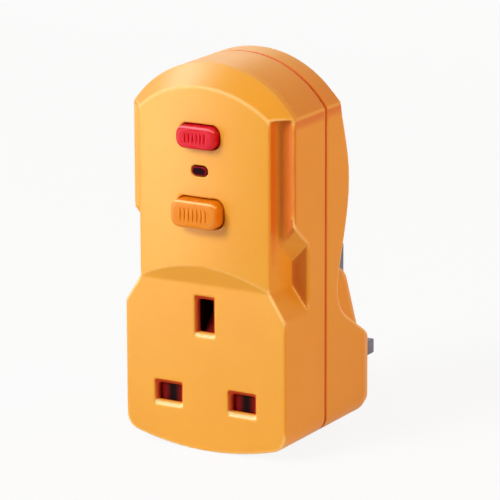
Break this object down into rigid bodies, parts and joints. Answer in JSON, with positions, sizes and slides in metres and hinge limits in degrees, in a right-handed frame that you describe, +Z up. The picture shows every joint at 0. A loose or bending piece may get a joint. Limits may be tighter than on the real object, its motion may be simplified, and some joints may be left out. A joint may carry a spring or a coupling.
{
  "type": "rcd adapter plug",
  "caption": "Plug-through residual-current adapter: a socket outlet on the front below push buttons and a lens, flat plug pins on a block at the back, with finger grips in the sides.",
  "frame": {"origin": "on the plug face, midway between the live and neutral pins", "axes": "+Y out of the plug face along the pins into the wall socket, +Z up towards the earth pin, +X to the live side"},
  "size_m": [0.048, 0.0781, 0.1029],
  "materials": {
    "housing": "moulded, satin sheen",
    "test_button": "moulded, glossy",
    "reset_button": "moulded, glossy",
    "lens": "polished, nearly opaque",
    "lamp": "clear moulded",
    "pins": "nickel plated",
    "sleeves": "moulded",
    "inner_plastic": "moulded",
    "socket_plastic": "moulded, dark brown",
    "brass": "stamped",
    "copper": "bare copper",
    "steel": "zinc plated",
    "core": "coated ferrite",
    "board": "laminate with green resist",
    "chip": "moulded",
    "components": "dipped",
    "resistors": "lacquered"
  },
  "bodies": {
    "case": {"front_cover": "housing", "rear_cover": "housing", "indicator_lens": "lens", "indicator_lamp": "lamp", "test_spring": "steel", "reset_spring": "steel", "button_frame": "inner_plastic", "frame_screws": "steel", "shutter_spring": "steel", "contact_carrier": "socket_plastic", "carrier_screws": "steel", "live_contact": "brass", "neutral_contact": "brass", "earth_contact": "brass", "earth_pin": "pins", "live_pin": "pins", "neutral_pin": "pins", "pin_sleeves": "sleeves", "earth_link": "brass", "live_line_link": "copper", "neutral_line_link": "copper", "live_load_link": "copper", "neutral_load_link": "copper", "sensing_core": "core", "sensing_winding": "copper", "circuit_board": "board", "board_screws": "steel", "control_chip": "chip", "capacitors": "components", "surge_absorber": "components", "resistors": "resistors", "test_blade": "brass", "coil_yoke": "steel", "coil_bobbin": "inner_plastic", "coil_winding": "copper", "plunger_spring": "steel", "latch_pin": "steel", "case_screws": "steel"},
    "test": {"test_button": "test_button"},
    "reset": {"reset_button": "reset_button", "contact_bridge": "inner_plastic", "moving_contacts": "brass"},
    "shutter": {"shutter": "socket_plastic"},
    "plunger": {"trip_plunger": "steel"},
    "latch": {"latch_lever": "inner_plastic"}
  },
  "joints": [
    {"name": "test_press", "type": "slide", "parent": "case", "child": "test", "axis": [0, 1, 0], "range_m": [0, 0.0018], "stiffness_N_per_m": 600, "springref_m": -0.002, "deforming": ["test_spring"]},
    {"name": "reset_press", "type": "slide", "parent": "case", "child": "reset", "axis": [0, 1, 0], "range_m": [0, 0.003], "stiffness_N_per_m": 800, "springref_m": -0.002, "deforming": ["reset_spring"]},
    {"name": "shutter_slide", "type": "slide", "parent": "case", "child": "shutter", "axis": [0, 0, -1], "range_m": [0, 0.006], "stiffness_N_per_m": 150, "springref_m": -0.003, "deforming": ["shutter_spring"]},
    {"name": "plunger_pull", "type": "slide", "parent": "case", "child": "plunger", "axis": [-1, 0, 0], "range_m": [0, 0.00104], "stiffness_N_per_m": 300, "springref_m": -0.003, "deforming": ["plunger_spring"]},
    {"name": "latch_swing", "type": "hinge", "parent": "case", "child": "latch", "pos_m": [0.0156, -0.0326, 0.046], "axis": [0, 1, 0], "range_deg": [0, 10]}
  ],
  "couplings": [
    {"joint": "latch_swing", "follows": "plunger_pull", "rad_per_m": 166.67}
  ]
}
